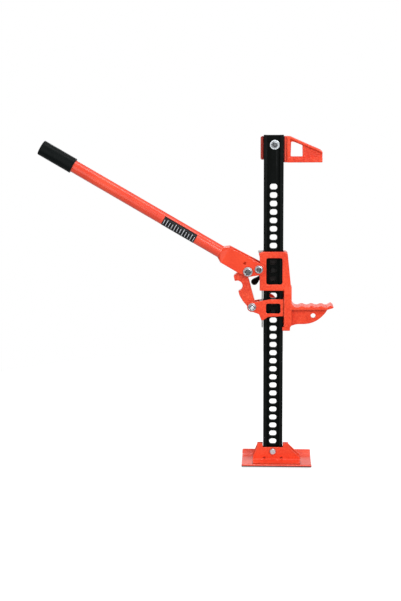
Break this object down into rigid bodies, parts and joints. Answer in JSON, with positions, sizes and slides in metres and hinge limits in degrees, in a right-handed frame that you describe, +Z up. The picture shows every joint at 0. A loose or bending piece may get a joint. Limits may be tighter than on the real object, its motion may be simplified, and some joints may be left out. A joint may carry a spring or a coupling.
{
  "type": "farm jack",
  "caption": "High-lift ratchet jack: holed steel bar on a tilting foot, ribbed lifting nose on a runner, clamp at the top and a long handle with rubber grip.",
  "frame": {"origin": "under the foot plate, on the axis of the bar", "axes": "+Z up along the bar, +X towards the lifting nose, +Y away from the side that the handle bolts are tightened from"},
  "size_m": [0.7423, 0.1314, 0.838],
  "materials": {
    "red_paint": "glossy orange-red powder coat",
    "black_paint": "satin black paint",
    "zinc": "zinc plated",
    "bare_steel": "plain steel",
    "spring_steel": "oiled spring steel",
    "black_plastic": "moulded knob",
    "black_rubber": "moulded rubber grip"
  },
  "bodies": {
    "foot": {"foot_plate": "red_paint", "foot_bracket_front": "red_paint", "foot_bracket_rear": "red_paint", "foot_bolt": "zinc", "foot_nut": "zinc"},
    "bar": {"standard_bar": "black_paint", "top_clamp": "red_paint", "top_bolt": "zinc", "top_nut": "zinc", "top_washers": "zinc"},
    "runner": {"large_runner": "red_paint", "guide_strip": "bare_steel", "pivot_bolt": "zinc", "pivot_nut": "zinc", "pivot_washers": "zinc", "upper_yoke": "red_paint", "upper_spring": "spring_steel", "latch_stud": "zinc"},
    "upper_pin": {"upper_climbing_pin": "bare_steel", "upper_cross_pin": "bare_steel", "upper_spring_seat": "zinc"},
    "latch": {"latch_lever": "black_paint", "latch_knob": "black_plastic"},
    "climber": {"small_runner": "red_paint", "link_low_bolt": "zinc", "link_low_nut": "zinc", "link_low_washers": "zinc", "lower_yoke": "red_paint", "lower_spring": "spring_steel"},
    "lower_pin": {"lower_climbing_pin": "bare_steel", "lower_cross_pin": "bare_steel", "lower_spring_seat": "zinc"},
    "link": {"link": "red_paint"},
    "handle": {"handle_socket": "red_paint", "handle_tube": "red_paint", "handle_grip": "black_rubber", "link_top_bolt": "zinc", "link_top_nut": "zinc", "link_top_washers": "zinc", "link_top_spacers": "zinc"}
  },
  "joints": [
    {"name": "foot_tilt", "type": "hinge", "parent": "foot", "child": "bar", "pos_m": [0, 0, 0.031], "axis": [0, 1, 0], "range_deg": [-5, 5]},
    {"name": "runner_slide", "type": "slide", "parent": "bar", "child": "runner", "axis": [0, 0, 1], "range_m": [-0.27495, 0.2115]},
    {"name": "handle_pivot", "type": "hinge", "parent": "runner", "child": "handle", "pos_m": [-0.036, 0, 0.50435], "axis": [0, 1, 0], "range_deg": [-30, 44.8]},
    {"name": "climber_slide", "type": "slide", "parent": "runner", "child": "climber", "axis": [0, 0, 1], "range_m": [-0.0145, 0.0212]},
    {"name": "link_swing", "type": "hinge", "parent": "climber", "child": "link", "pos_m": [-0.0532, 0, 0.4079], "axis": [0, 1, 0], "range_deg": [-1.2, 0.9]},
    {"name": "upper_pin_slide", "type": "slide", "parent": "runner", "child": "upper_pin", "axis": [0, -1, 0], "range_m": [0, 0.0104], "deforming": ["upper_spring"]},
    {"name": "lower_pin_slide", "type": "slide", "parent": "climber", "child": "lower_pin", "axis": [0, -1, 0], "range_m": [0, 0.0104], "deforming": ["lower_spring"]},
    {"name": "latch_turn", "type": "hinge", "parent": "runner", "child": "latch", "pos_m": [-0.026, 0.038, 0.48415], "axis": [0, 1, 0], "range_deg": [0, 80]}
  ],
  "couplings": [
    {"joint": "climber_slide", "follows": "handle_pivot", "m_per_rad": 0.027034},
    {"joint": "link_swing", "follows": "handle_pivot", "ratio": -0.023}
  ]
}
